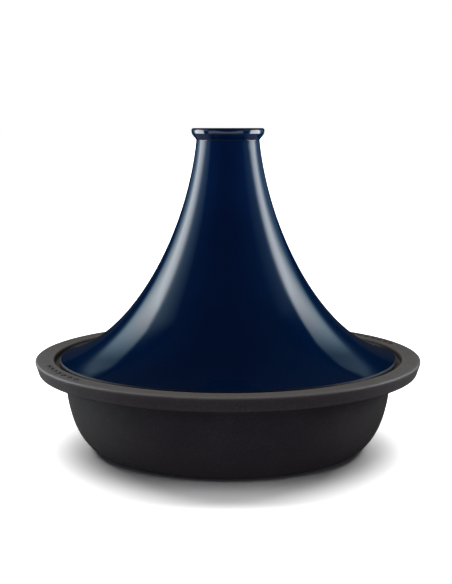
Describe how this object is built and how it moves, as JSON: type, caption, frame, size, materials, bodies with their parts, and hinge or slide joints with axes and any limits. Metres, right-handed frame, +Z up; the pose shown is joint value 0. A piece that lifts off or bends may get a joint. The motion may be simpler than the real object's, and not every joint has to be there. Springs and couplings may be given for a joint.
{
  "type": "tagine pot",
  "caption": "Shallow flanged cooking dish with a tall trumpet-shaped lid that rests in the rim's recess, collects condensation and lifts off by its collared neck.",
  "frame": {"origin": "on the table, under the middle of the dish's foot", "axes": "+Z up, along the axis of the dish and the lid; +X and +Y level, with the raised rows on the rim centred 30 degrees from +X and from -X"},
  "size_m": [0.3, 0.3, 0.2475],
  "materials": {
    "dish_enamel": "matte",
    "lid_glaze": "gloss"
  },
  "bodies": {
    "dish": {"dish": "dish_enamel"},
    "lid": {"lid": "lid_glaze"}
  },
  "joints": [
    {"name": "lid_lift", "type": "slide", "parent": "dish", "child": "lid", "axis": [0, 0, 1], "range_m": [0, 0.2]}
  ]
}
